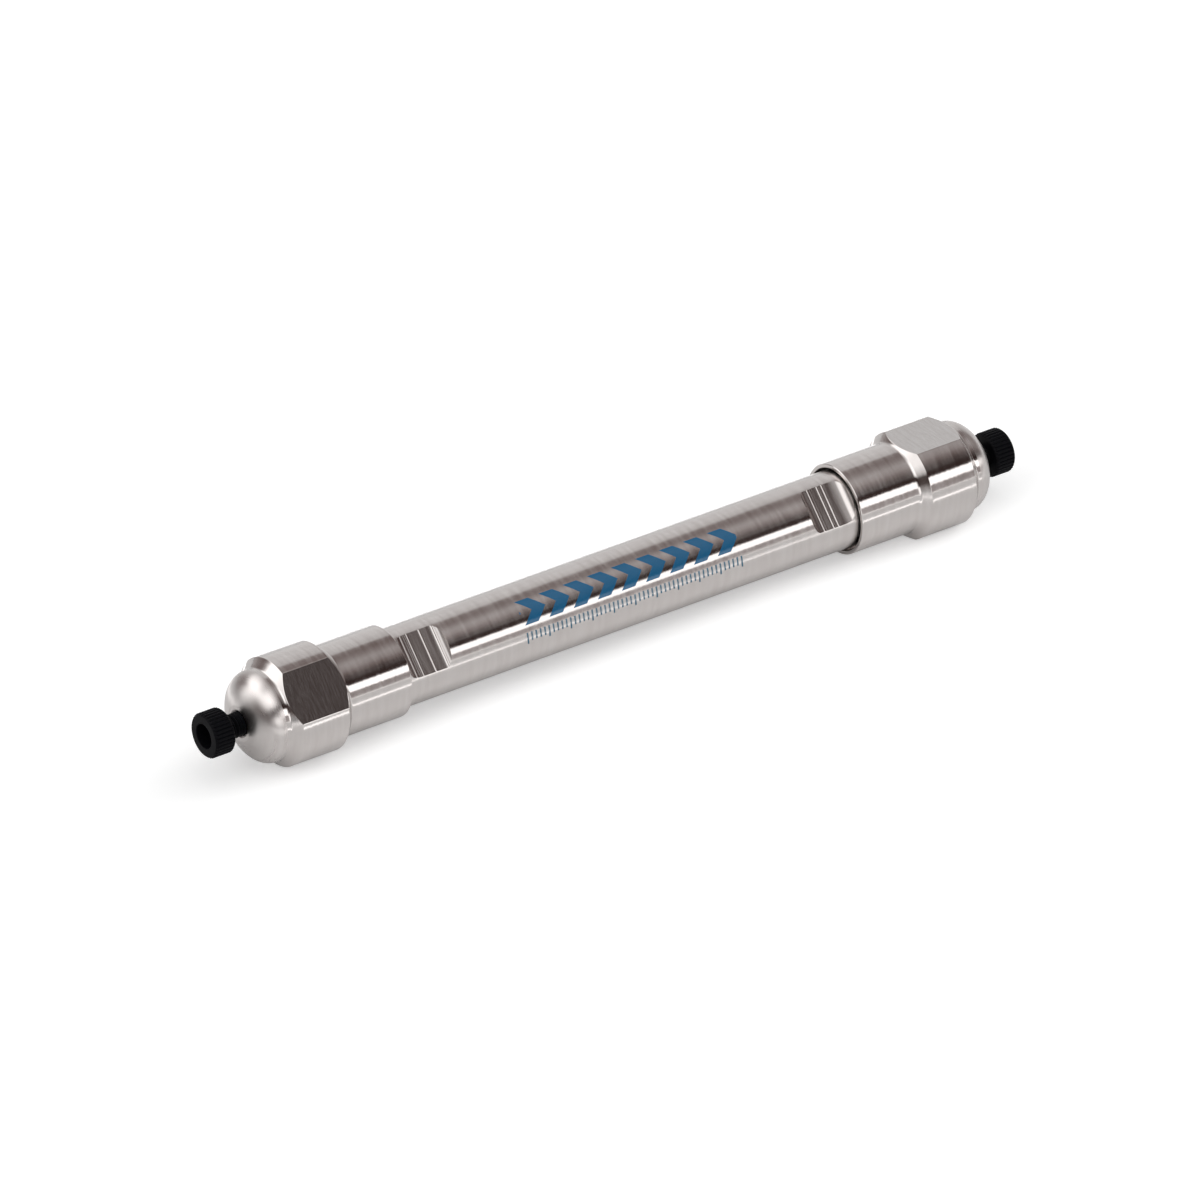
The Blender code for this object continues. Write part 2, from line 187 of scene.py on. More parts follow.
# Places in the nut's own frame, which starts at the seat of the sealing ring
NUT_FLOOR = -RING_SEAT_DEPTH
CONE_END = END_WALL + POCKET_DEPTH
CONE_START = CONE_END + PORT_RADIUS - POCKET_RADIUS
LAND = CONE_START + PORT_DEPTH
LAND_DROP = DOME_HEIGHT * (1.0 - math.sqrt(1.0 - (LAND_RADIUS / NOSE_RADIUS) ** 2))
DOME_POLE = LAND + LAND_DROP
DOME_BASE = DOME_POLE - DOME_HEIGHT
CHAMFER_END = DOME_BASE - NOSE_CYLINDER_LENGTH
WRENCH_END = CHAMFER_END - FRONT_CHAMFER_LENGTH
WRENCH_START = WRENCH_END - WRENCH_LENGTH
COLLAR_END = WRENCH_START - SHOULDER_LENGTH
MOUTH = COLLAR_END - COLLAR_LENGTH
TIP_IN_NUT = CONE_END - POCKET_RADIUS + TIP_RADIUS + CONE_GAP * math.sqrt(2)

# Places in the column's frame, which starts at the tube's middle
TUBE_END = TUBE_LENGTH / 2
RING_START = TUBE_END + FIT_GAP
NUT_SEAT = RING_START + FRIT_THICKNESS + FIT_GAP
NUT_MOUTH = NUT_SEAT + MOUTH
TUBE_SHOULDER = NUT_MOUTH + MOUTH_DEPTH - SHOULDER_CLEARANCE

# Steel: the width of the rings that the tool left and how unlike they are, how much a finish's roughness
# varies either way, the turn of its smear as a share of a whole one, and the bright specks on a flat
RING_WIDTH = 0.15 * MM
RING_CONTRAST = 0.6
SMOOTHER = 0.02
ROUGHER = 0.03
QUARTER_TURN = 0.25
SPECK_SCALE = 800.0
SPECK_SIZE = 0.10
SPECK_SWAY = 2.5

# Nearly all of a soft noise's values lie between these
NOISE_LOW = 0.3
NOISE_HIGH = 0.7

# Colours of the finishes; each pair is (dark, pale)
STEEL = (0.595, 0.56, 0.545, 1.0)
STEEL_TONES = ((0.53, 0.49, 0.475, 1.0), (0.62, 0.59, 0.575, 1.0))
BRUSHED_TONES = ((0.54, 0.51, 0.498, 1.0), (0.60, 0.58, 0.57, 1.0))
MILLED_TONES = ((0.47, 0.405, 0.39, 1.0), (0.68, 0.605, 0.59, 1.0))
PLASTIC_TONES = ((0.002, 0.002, 0.003, 1.0), (0.004, 0.004, 0.005, 1.0))
# Sintered frit: the pale is the grains' own tone, the dark is painted shade where they meet
SINTER_TONE_AND_SHADE = ((0.24, 0.235, 0.23, 1.0), (0.46, 0.45, 0.44, 1.0))
SEAL_TONES = ((0.60, 0.47, 0.30, 1.0), (0.66, 0.53, 0.36, 1.0))
# Packed bed: the pale is the beads' own tone, the dark is painted shade in the gaps between them
BEAD_TONE_AND_SHADE = ((0.74, 0.71, 0.64, 1.0), (0.88, 0.86, 0.80, 1.0))
INK = (0.010, 0.105, 0.225, 1.0)
FINE_INK = (0.06, 0.15, 0.22, 1.0)
INK_ROUGHENS = 0.04
WHITE = (1.0, 1.0, 1.0, 1.0)
BLACK = (0.0, 0.0, 0.0, 1.0)

# Print on the tube: chevrons and a scale, between these angles in degrees from the side that faces -Y. The
# steps are whole ones, added so that no counted place is negative.
PRINT_HALF_LENGTH = 25.3 * MM
CHEVRON_LOW = 30.0
CHEVRON_HIGH = 67.0
CHEVRON_PITCH = 5.62 * MM
CHEVRON_SHARE = 0.56
CHEVRON_SLANT = 2.6 * MM
SCALE_LOW = 3.0
SHORT_TICK_LOW = 7.0
SCALE_HIGH = 19.5
TICK_PITCH = 1.0 * MM
TICK_HALF_WIDTH = 0.19 * TICK_PITCH
LONG_TICK_EVERY = 5
STEPS_TO_POSITIVE = 100

# Camera: the photo's angle in degrees. The column's middle lies this many of the frame's pixels right of its
# middle and above it.
CAMERA_AZIMUTH = -35.43
CAMERA_ELEVATION = 31.3
CAMERA_DISTANCE = 2.85
CAMERA_NEAREST = 0.1
CAMERA_FARTHEST = 50.0
SENSOR_WIDTH = 36.0
FRAME_PIXELS = 1200
PIXEL_AT_COLUMN = 0.1906 * MM
COLUMN_RIGHT_OF_FRAME = 12.1
COLUMN_ABOVE_FRAME = 10.5

# What the steel sees round it, by angle about the column from -Y over the top: (degrees, brightness).
# The first is what lies across the column, and the others what lies more and more towards its inlet.
STUDIO_ACROSS = (
    (-6, 0.85), (-3.0, 0.85),
    (-2.0, 1.9), (0.5, 1.9),
    (1.9, 0.40), (15.5, 0.37),
    (17.5, 2.2), (31.0, 2.2),
    (33.5, 0.055), (46, 0.045),
    (54, 0.07), (64, 0.20),
    (72, 0.36), (84, 0.46),
    (92, 0.39), (102, 0.28),
    (110, 0.22), (121, 0.23),
    (124, 0.66), (134, 0.70),
    (144, 0.80), (164, 0.88),
    (180, 0.95),
)
STUDIO_SIDE = (
    (-60, 0.9), (-22, 0.85),
    (-15, 1.15), (0, 1.0),
    (4, 2.1), (17, 2.1),
    (21, 0.06), (42, 0.05),
    (47, 1.8), (60, 2.3),
    (78, 2.0), (92, 1.1),
    (102, 1.3), (114, 2.3),
    (142, 2.2), (149, 0.5),
    (158, 0.20), (172, 0.20),
    (180, 0.35),
)
STUDIO_FAR_SIDE = (
    (-60, 0.95), (-24, 0.80),
    (-10, 0.70), (15, 0.65),
    (20, 0.05), (40, 0.05),
    (47, 1.3), (60, 1.9),
    (144, 2.0), (158, 1.7),
    (170, 1.5), (180, 1.0),
)
STUDIO_POLE = (
    (-60, 0.85), (-24, 0.72),
    (-14, 0.50), (0, 0.26),
    (14, 0.08), (40, 0.05),
    (46, 0.70), (60, 1.2),
    (76, 1.7), (100, 1.2),
    (130, 1.4), (150, 1.0),
    (180, 0.65),
)
STUDIO_CAP = (0.07, 0.06, 0.058, 1.0)

# Where each takes over from the one before: the X of a direction at the change's start and end
TO_SIDE = (0.48, -0.40)
TO_FAR_SIDE = (-0.50, -0.70)
TO_POLE = (-0.74, -0.87)
TO_CAP = (-0.84, -0.96)

# Brightest card, how warm the dark cards are, how fast that fades in brighter ones, and the plain light
STUDIO_PEAK = 2.5
STUDIO_WARMTH = 0.42
STUDIO_WARMTH_FALL = 3
STUDIO_BLUE_LOSS = 1.15
PLAIN_LEVEL = 0.15

# Floor: its own glow for the camera, near and far, and for reflections. They also see a bright strip on each
# side of the column, and less and less light beyond its inlet.
FLOOR_SIZE = 12.0
FLOOR_COLOUR = (0.8, 0.8, 0.8, 1.0)
FLOOR_WHITE = 0.42
WHITE_START = 0.5
WHITE_END = 1.5
FLOOR_GLOSSY = 0.10
STRIP_NEAR = 0.046
STRIP_FAR = 0.055
STRIP_BLUR = 0.002
STRIP_BRIGHTNESS = 1.7
FADE_START = 0.11
FADE_END = 0.22
FADE_DEPTH = 0.6

# Soft lamps: (place, width and height, watts)
LAMPS = (
    ((0.0, -0.80, 2.45), (6.5, 3.4), 74.0),
    ((2.2, -0.30, 1.20), (1.5, 1.5), 17.0),
    ((-2.2, -0.30, 1.20), (1.5, 1.5), 17.0),
)


def column_frame():
    """Where the column lies: X along its axis towards the outlet, Y level, origin at the tube's middle."""
    outlet_joint = next(j for j in frame["joints"] if j["name"] == "outlet_nut_unscrew")
    low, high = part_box("packed_bed")
    along = Vector(outlet_joint["axis"]).normalized()
    level = Vector((0.0, 1.0, 0.0))
    above = along.cross(level)
    turn = Matrix((along, level, above)).transposed().to_4x4()
    return Matrix.Translation((low + high) / 2) @ turn


def end_frame(side, outward, facing):
    """A frame at this distance outward, whose X points outward and whose Z points to a world direction."""
    column = column_frame()
    along = side * column.to_3x3().col[0]
    across = facing.cross(along).normalized()
    above = along.cross(across)
    turn = Matrix((along, across, above)).transposed().to_4x4()
    return Matrix.Translation(column @ Vector((side * outward, 0.0, 0.0))) @ turn


def mount_direction(name):
    """The way that one of the record's flat faces looks."""
    return Vector(next(m["axis"] for m in frame["record"]["mounts"] if m["name"] == name))


def new_object(name, data):
    """An object with this data, in the scene."""
    item = bpy.data.objects.new(name, data)
    bpy.context.scene.collection.objects.link(item)
    return item


def new_mesh(name, bm):
    """A mesh made of a bmesh, which is freed."""
    mesh = bpy.data.meshes.new(name)
    bm.to_mesh(mesh)
    bm.free()
    return mesh


def soften(profile):
    """Replaces each corner that names a rounding by an arc. A corner is (outward, radius, rounding)."""
    rows = []
    for number, corner in enumerate(profile):
        if len(corner) != 3:
            rows.append(corner)
            continue
        here = Vector(corner[:2])
        before = (Vector(profile[number - 1][:2]) - here).normalized()
        after = (Vector(profile[(number + 1) % len(profile)][:2]) - here).normalized()
        half = before.angle(after) / 2
        centre = here + (before + after).normalized() * corner[2] / math.sin(half)
        first = here + before * corner[2] / math.tan(half) - centre
        last = here + after * corner[2] / math.tan(half) - centre
        turn = first.angle_signed(last)
        for step in range(ROUND_ROWS + 1):
            spoke = Matrix.Rotation(-turn * step / ROUND_ROWS, 2) @ first
            rows.append(tuple(centre + spoke))
    return rows


def thread(start, end, crest, depth, pitch):
    """Rows of a screw thread that runs out at both ends. Each row is (outward, radius, depth there, pitch).

    A bore's thread has a negative depth, because it is cut away from the axis.
    """
    count = math.ceil(abs(end - start) / pitch * THREAD_ROWS)
    rows = []
    for step in range(count + 1):
        outward = start + (end - start) * step / count
        run_out = min(1.0, abs(outward - start) / pitch, abs(end - outward) / pitch)
        rows.append((outward, crest, depth * run_out, pitch))
    return rows


def thread_wave(turns):
    """0 on the crest and 1 at the root of a thread with flats on both."""
    ramp = abs(2.0 * (turns % 1.0) - 1.0)
    return min(1.0, max(0.0, THREAD_STEEPNESS * ramp - THREAD_FLAT))


def turned(name, rows, columns, closed, ribs=None):
    """Turns rows of (outward, radius), and the rows of threads, round X.

    A closed body joins its last row to its first, and an open one starts and ends on the axis.
    ribs(radius, angle) can change a radius.
    """
    bm = bmesh.new()
    rings = []
    for row in rows:
        outward, radius = row[0], row[1]
        if radius == 0.0:
            rings.append([bm.verts.new((outward, 0.0, 0.0))])
            continue
        ring = []
        for column in range(columns):
            angle = 2 * math.pi * column / columns
            reach = radius
            if len(row) == 4:
                reach -= row[2] * thread_wave(outward / row[3] - column / columns)
            if ribs:
                reach = ribs(reach, angle)
            ring.append(bm.verts.new((outward, reach * math.sin(-angle), reach * math.cos(angle))))
        rings.append(ring)
    pairs = list(zip(rings, rings[1:]))
    if closed:
        pairs.append((rings[-1], rings[0]))
    for near, far in pairs:
        for column in range(columns):
            after = (column + 1) % columns
            if len(near) == 1:
                bm.faces.new((near[0], far[column], far[after]))
            elif len(far) == 1:
                bm.faces.new((near[column], far[0], near[after]))
            else:
                bm.faces.new((near[column], far[column], far[after], near[after]))
    bmesh.ops.recalc_face_normals(bm, faces=bm.faces)
    return new_mesh(name, bm)


def piece(name, mesh, place, body, replaced, materials, crease=STEEL_CREASE):
    """Puts a mesh in place of a CAD node, riding on that node's body. It keeps the column's frame.

    Edges that turn by more than crease, in degrees, stay sharp.
    """
    column = column_frame()
    mesh.transform(column.inverted() @ place)
    item = new_object(name, mesh)
    for material in materials:
        mesh.materials.append(material)
    mesh.shade_smooth()
    mesh.set_sharp_from_angle(angle=math.radians(crease))
    item.matrix_world = column
    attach(item, body)
    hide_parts(replaced)


def tube_half_rows():
    """The tube's outline from one shoulder out along the neck, and over its end to the bore."""
    groove_end = TUBE_SHOULDER + NECK_GROOVE_WIDTH
    thread_start = groove_end + NECK_CREST_RADIUS - NECK_GROOVE_RADIUS
    thread_end = TUBE_END - NECK_CHAMFER
    return [
        (TUBE_SHOULDER, TUBE_RADIUS, TUBE_EDGE_ROUND),
        (TUBE_SHOULDER, NECK_GROOVE_RADIUS, NECK_GROOVE_ROUND),
        (groove_end, NECK_GROOVE_RADIUS, NECK_GROOVE_ROUND),
        *thread(thread_start, thread_end, NECK_CREST_RADIUS, NECK_THREAD_DEPTH, NECK_THREAD_PITCH),
        (TUBE_END, NECK_CREST_RADIUS - NECK_CHAMFER, NECK_ROUND),
        (TUBE_END, BORE_RADIUS),
    ]


def milled_height(outward, marks):
    """Height of a tube flat at this distance outward, with its round corners and its ridges."""
    inner = max(0.0, TUBE_FLAT_START - outward)
    outer = max(0.0, outward - TUBE_FLAT_END)
    corner, beyond = (INNER_MILL_CORNER, inner) if inner else (OUTER_MILL_CORNER, outer)
    height = TUBE_FLAT_HEIGHT + corner - math.sqrt(max(0.0, corner**2 - beyond**2))
    height += max(0.0, outward - TUBE_FLAT_SWEEP_START) ** 2 / (2 * TUBE_FLAT_SWEEP_RADIUS)
    for middle, width, ridge in marks:
        height += ridge * max(0.0, 1.0 - abs(outward - middle) / (width / 2))
    return height


def tube_flat_cutter(side, marks):
    """Two opposite milling passes across the tube, in the column's frame."""
    start = TUBE_FLAT_START - INNER_MILL_CORNER
    length = TUBE_FLAT_END + OUTER_MILL_CORNER - start
    places = [start + length * step / MILL_ROWS for step in range(MILL_ROWS + 1)]
    outline = [(side * place, milled_height(place, marks)) for place in places]
    outline += [(side * places[-1], CUTTER_REACH), (side * places[0], CUTTER_REACH)]
    bm = bmesh.new()
    for direction in (1.0, -1.0):
        corners = [bm.verts.new((x, -CUTTER_REACH, direction * z)) for x, z in outline]
        face = bm.faces.new(corners)
        swept = bmesh.ops.extrude_face_region(bm, geom=[face])["geom"]
        moved = [element for element in swept if isinstance(element, bmesh.types.BMVert)]
        bmesh.ops.translate(bm, verts=moved, vec=(0.0, 2 * CUTTER_REACH, 0.0))
    bmesh.ops.recalc_face_normals(bm, faces=bm.faces)
    return new_mesh("tube_flat_cutter", bm)


def chamfer_rims(mesh):
    """Breaks the sharp rim of each flat, which is where its material meets another."""
    bm = bmesh.new()
    bm.from_mesh(mesh)
    rim = []
    for edge in bm.edges:
        kinds = {face.material_index for face in edge.link_faces}
        if len(kinds) == 2 and FLAT_FACE in kinds and edge.calc_face_angle() > math.radians(RIM_DEGREES):
            rim.append(edge)
    bmesh.ops.bevel(
        bm,
        geom=rim,
        offset=RIM_CHAMFER,
        offset_type="OFFSET",
        segments=1,
        affect="EDGES",
        clamp_overlap=True,
        material=TURNED_FACE,
    )
    bm.to_mesh(mesh)
    bm.free()


def cut_mesh(mesh, cutters):
    """The mesh less each (cutter mesh, place), with the cutter's material on the cut faces."""
    target = new_object("uncut", mesh)
    helpers = [target]
    for cutter_mesh, place in cutters:
        cutter = new_object("cutter", cutter_mesh)
        cutter.matrix_world = place
        helpers.append(cutter)
        cut = target.modifiers.new("cut", "BOOLEAN")
        cut.operation = "DIFFERENCE"
        cut.solver = "EXACT"
        cut.material_mode = "TRANSFER"
        cut.object = cutter
    bpy.context.view_layer.update()
    done = bpy.data.meshes.new_from_object(target.evaluated_get(bpy.context.evaluated_depsgraph_get()))
    for helper in helpers:
        bpy.data.objects.remove(helper, do_unlink=True)
    return done


def make_tube(finish, flat_finish):
    """The steel tube with its two threaded necks, its bore and its two pairs of milled flats."""
    half = soften(tube_half_rows())
    rows = [(-row[0], *row[1:]) for row in reversed(half)] + half
    mesh = turned("column_tube", rows, TURNED_COLUMNS, closed=True)
    mesh.materials.append(finish)
    facing = mount_direction("inlet_tube_flat_front")
    turn = Matrix.Rotation(math.atan2(-facing.y, facing.z), 4, "X")
    cutters = []
    for side, marks in ((-1, INLET_TOOL_MARKS), (1, OUTLET_TOOL_MARKS)):
        cutter_mesh = tube_flat_cutter(side, marks)
        cutter_mesh.materials.append(flat_finish)
        cutters.append((cutter_mesh, turn))
    mesh = cut_mesh(mesh, cutters)
    mesh.materials.clear()
    chamfer_rims(mesh)
    finishes = (finish, flat_finish)
    piece("steel_tube", mesh, column_frame(), "column", "column_tube", finishes)


def nut_rows():
    """The end nut's outline: out along its outside to the port, then back along its inside to the mouth."""
    dome = []
    for step in range(DOME_ROWS + 1):
        angle = math.acos(LAND_RADIUS / NOSE_RADIUS) * step / DOME_ROWS
        dome.append((DOME_BASE + DOME_HEIGHT * math.sin(angle), NOSE_RADIUS * math.cos(angle)))
    run_out_start = NUT_FLOOR - RUN_OUT_WIDTH
    ring_radius = FRIT_RADIUS + FIT_GAP + RING_WALL + FIT_GAP
    bore_start = MOUTH + MOUTH_DEPTH
    return [
        (MOUTH, COLLAR_RADIUS, MOUTH_ROUND),
        (COLLAR_END, COLLAR_RADIUS, SHOULDER_FILLET),
        (WRENCH_START, WRENCH_RADIUS, WRENCH_ROUND),
        (WRENCH_END, WRENCH_RADIUS, WRENCH_ROUND),
        (CHAMFER_END, NOSE_RADIUS, NOSE_FILLET),
        *dome,
        (LAND, PORT_CREST_RADIUS + PORT_CHAMFER),
        *thread(LAND - PORT_CHAMFER, CONE_START, PORT_CREST_RADIUS, -PORT_THREAD_DEPTH, THREAD_PITCH),
        (CONE_END, POCKET_RADIUS),
        (END_WALL, POCKET_RADIUS),
        (END_WALL, CAPILLARY_RADIUS),
        (0.0, CAPILLARY_RADIUS),
        (0.0, ring_radius),
        (NUT_FLOOR, ring_radius),
        (NUT_FLOOR, RUN_OUT_RADIUS),
        (run_out_start, RUN_OUT_RADIUS),
        *thread(run_out_start, bore_start, NUT_CREST_RADIUS, -NUT_THREAD_DEPTH, NECK_THREAD_PITCH),
        (bore_start, MOUTH_RADIUS),
        (MOUTH, MOUTH_RADIUS, MOUTH_ROUND),
    ]


def slice_flats(mesh):
    """Cuts the two wrench flats and gives them their own material."""
    bm = bmesh.new()
    bm.from_mesh(mesh)
    for direction in (1.0, -1.0):
        normal = Vector((0.0, 0.0, direction))
        made = bmesh.ops.bisect_plane(
            bm,
            geom=bm.verts[:] + bm.edges[:] + bm.faces[:],
            plane_co=normal * NUT_FLAT_HEIGHT,
            plane_no=normal,
            clear_outer=True,
        )
        rim = [element for element in made["geom_cut"] if isinstance(element, bmesh.types.BMEdge)]
        for face in bmesh.ops.edgeloop_fill(bm, edges=rim)["faces"]:
            face.material_index = FLAT_FACE
    bmesh.ops.recalc_face_normals(bm, faces=bm.faces)
    bm.to_mesh(mesh)
    bm.free()


def make_nut(end, side, facing, finishes):
    """One end nut. The finishes are for the turned surfaces, the wrench flats and the dome."""
    mesh = turned(end + "_end_nut", soften(nut_rows()), TURNED_COLUMNS, closed=True)
    slice_flats(mesh)
    chamfer_rims(mesh)
    for face in mesh.polygons:
        if face.center.x > DOME_BASE:
            face.material_index = DOME_FACE
    place = end_frame(side, NUT_SEAT, facing)
    piece(end + "_nut", mesh, place, end + "_nut", end + "_end_nut", finishes)


def head_ribs(radius, angle):
    """Rounded straight ridges round the plug's head, which fade at its chamfers. Thinner parts stay plain."""
    inner = HEAD_RADIUS - HEAD_CHAMFER
    if radius <= inner:
        return radius
    share = (radius - inner) / HEAD_CHAMFER
    valley = abs(math.cos(angle * SERRATION_COUNT / 2)) ** SERRATION_FULLNESS
    return radius - SERRATION_DEPTH * share * (1.0 - valley)


def plug_rows():
    """The plug's outline from the middle of its tip, along the shank and the head, to its recess's floor."""
    head_end = SHANK_LENGTH + HEAD_LENGTH
    thread_start = SHANK_RADIUS - TIP_RADIUS
    thread_end = SHANK_LENGTH - SHANK_RELIEF_LENGTH
    recess_floor = head_end - RECESS_DEPTH
    root = SHANK_RADIUS - SHANK_THREAD_DEPTH
    return [
        (0.0, 0.0),
        (0.0, TIP_RADIUS, TIP_ROUND),
        *thread(thread_start, thread_end, SHANK_RADIUS, SHANK_THREAD_DEPTH, THREAD_PITCH),
        (SHANK_LENGTH, root, SHANK_ROUND),
        (SHANK_LENGTH, HEAD_RADIUS - HEAD_CHAMFER, HEAD_ROUND),
        (SHANK_LENGTH + HEAD_CHAMFER, HEAD_RADIUS, HEAD_ROUND),
        (head_end - HEAD_CHAMFER, HEAD_RADIUS, HEAD_ROUND),
        (head_end, HEAD_RADIUS - HEAD_CHAMFER, HEAD_ROUND),
        (head_end, RECESS_RADIUS, HEAD_ROUND),
        (recess_floor, RECESS_RADIUS, HEAD_ROUND),
        (recess_floor, 0.0),
    ]


def make_plug(end, side, facing, backed_out, finish):
    """One plug, screwed out of its port by this distance."""
    mesh = turned(end + "_plug", soften(plug_rows()), PLUG_COLUMNS, closed=False, ribs=head_ribs)
    place = end_frame(side, NUT_SEAT + TIP_IN_NUT + backed_out, facing)
    body = end + "_stopper"
    piece(body, mesh, place, body, end + "_plug", (finish,), crease=PLASTIC_CREASE)


def make_seal(end, side, facing, frit_finish, ring_finish):
    """The sintered disc at the end of the bed, and the polymer ring that it is pressed into."""
    place = end_frame(side, RING_START, facing)
    disc = [
        (0.0, 0.0),
        (0.0, FRIT_RADIUS, SEAL_ROUND),
        (FRIT_THICKNESS, FRIT_RADIUS, SEAL_ROUND),
        (FRIT_THICKNESS, 0.0),
    ]
    bore = FRIT_RADIUS + FIT_GAP
    rim = bore + RING_WALL
    ring = [
        (0.0, bore, SEAL_ROUND),
        (0.0, rim, SEAL_ROUND),
        (FRIT_THICKNESS, rim, SEAL_ROUND),
        (FRIT_THICKNESS, bore, SEAL_ROUND),
    ]
    frit_mesh = turned(end + "_frit", soften(disc), TURNED_COLUMNS, closed=False)
    ring_mesh = turned(end + "_ring", soften(ring), TURNED_COLUMNS, closed=True)
    piece(end + "_sinter", frit_mesh, place, "column", end + "_frit", (frit_finish,))
    piece(end + "_seal", ring_mesh, place, "column", end + "_frit_ring", (ring_finish,))


class Nodes:
    """A short way to add and link shader nodes. A value is a number, a colour or another node's output."""

    def __init__(self, tree):
        self.tree = tree
        tree.nodes.clear()

    def add(self, kind, values=None, **settings):
        """A new node with these settings, and these values in its inputs."""
        node = self.tree.nodes.new(kind)
        for name, value in settings.items():
            setattr(node, name, value)
        for key, value in (values or {}).items():
            if isinstance(value, bpy.types.NodeSocket):
                self.tree.links.new(value, node.inputs[key])
            else:
                node.inputs[key].default_value = value
        return node

    def math(self, operation, *values):
        """The result of one of Blender's operations on numbers."""
        return self.add("ShaderNodeMath", dict(enumerate(values)), operation=operation).outputs[0]

    def vector(self, operation, values, result="Vector"):
        """The result of one of Blender's operations on vectors."""
        return self.add("ShaderNodeVectorMath", values, operation=operation).outputs[result]

    def mix(self, share, first, second):
        """A mix of two colours. The node keeps them in its inputs 6 and 7, and the result in its output 2."""
        return self.add("ShaderNodeMix", {0: share, 6: first, 7: second}, data_type="RGBA").outputs[2]

    def remap(self, value, low, high, to_low=0.0, to_high=1.0):
        """Takes low to to_low and high to to_high, and what is beyond them no further."""
        values = {"Value": value, "From Min": low, "From Max": high, "To Min": to_low, "To Max": to_high}
        return self.add("ShaderNodeMapRange", values).outputs[0]

    def spread(self, noise, to_low=0.0, to_high=1.0):
        """A soft noise spread out from to_low to to_high."""
        return self.remap(noise, NOISE_LOW, NOISE_HIGH, to_low, to_high)

    def place(self, kind="Object"):
        """The place of each point in its object, or another of its coordinates."""
        return self.add("ShaderNodeTexCoord").outputs[kind]

    def parts(self, vector):
        """The X, Y and Z of a vector."""
        return self.add("ShaderNodeSeparateXYZ", {0: vector}).outputs

    def drawn_round(self, place, share):
        """The place with its Y and Z at this share, so that a texture is drawn out round the axis."""
        return self.add("ShaderNodeMapping", {"Vector": place, "Scale": (1.0, share, share)}).outputs[0]

    def noise(self, place, scale, detail, roughness):
        """Soft noise, with about this many waves to a metre."""
        values = {"Vector": place, "Scale": scale, "Detail": detail, "Roughness": roughness}
        return self.add("ShaderNodeTexNoise", values).outputs[0]

    def cells(self, place, scale):
        """How far each point is from the middle of its cell, with this many cells to a metre."""
        return self.add("ShaderNodeTexVoronoi", {"Vector": place, "Scale": scale}).outputs["Distance"]

    def bump(self, height, strength, distance, **more):
        """A normal that follows this height."""
        values = {"Height": height, "Strength": strength, "Distance": distance, **more}
        return self.add("ShaderNodeBump", values).outputs[0]

    def angle_over(self, parts):
        """Degrees about the column's axis, from -Y over the top."""
        front = self.math("MULTIPLY", parts[1], -1.0)
        return self.math("DEGREES", self.math("ARCTAN2", parts[2], front))


def new_material(name):
    """A material and its nodes, still empty."""
    material = bpy.data.materials.new(name)
    material.use_nodes = True
    return material, Nodes(material.node_tree)


def finish_material(nodes, looks):
    """Gives the material a surface with these looks."""
    shader = nodes.add("ShaderNodeBsdfPrincipled", looks)
    nodes.add("ShaderNodeOutputMaterial", {"Surface": shader.outputs[0]})


def ring_noise(nodes, place, width):
    """A value of its own for each ring of this width round the axis."""
    number = nodes.math("FLOOR", nodes.math("DIVIDE", nodes.parts(place)[0], width))
    return nodes.add("ShaderNodeTexWhiteNoise", {"W": number}, noise_dimensions="1D").outputs["Value"]


def grooved_normal(nodes, rings, sway):
    """The direction of the tool's grooves, and the normal, swayed along it by rings of noise."""
    normal = nodes.add("ShaderNodeNewGeometry").outputs["Normal"]
    tangent = nodes.add("ShaderNodeTangent", direction_type="RADIAL", axis="X").outputs[0]
    amount = nodes.math("MULTIPLY", nodes.math("SUBTRACT", rings, 0.5), sway)
    push = nodes.vector("SCALE", {0: tangent, "Scale": amount})
    return tangent, nodes.vector("NORMALIZE", {0: nodes.vector("ADD", {0: normal, 1: push})})


def turned_steel(name, roughness, sway, smear, marks=False):
    """Steel off the lathe: fine rings round the axis, which smear reflections along it."""
    material, nodes = new_material(name)
    place = nodes.place()
    noise = ring_noise(nodes, place, RING_WIDTH)
    rings = nodes.math("MULTIPLY_ADD", noise, RING_CONTRAST, 0.5 - RING_CONTRAST / 2)
    bands = nodes.noise(nodes.drawn_round(place, 0.10), scale=900.0, detail=2.0, roughness=0.6)
    cloud = nodes.noise(place, scale=160.0, detail=3.0, roughness=0.6)
    tangent, normal = grooved_normal(nodes, rings, sway)
    rough = nodes.remap(bands, 0.35, 0.65, roughness - SMOOTHER, roughness + ROUGHER)
    tone = nodes.mix(nodes.spread(bands), *STEEL_TONES)
    tone = nodes.mix(nodes.spread(cloud, 0.35, 0.65), tone, STEEL)
    metallic = 1.0
    if marks:
        bold, fine = flow_marks(nodes, place)
        printed = nodes.math("MAXIMUM", bold, fine)
        tone = nodes.mix(bold, tone, INK)
        tone = nodes.mix(fine, tone, FINE_INK)
        metallic = nodes.math("SUBTRACT", 1.0, printed)
        rough = nodes.math("MULTIPLY_ADD", printed, INK_ROUGHENS, rough)
    finish_material(nodes, {
        "Base Color": tone,
        "Metallic": metallic,
        "Roughness": rough,
        "Normal": normal,
        "Tangent": tangent,
        "Anisotropic": smear,
        "Anisotropic Rotation": QUARTER_TURN,
    })
    return material


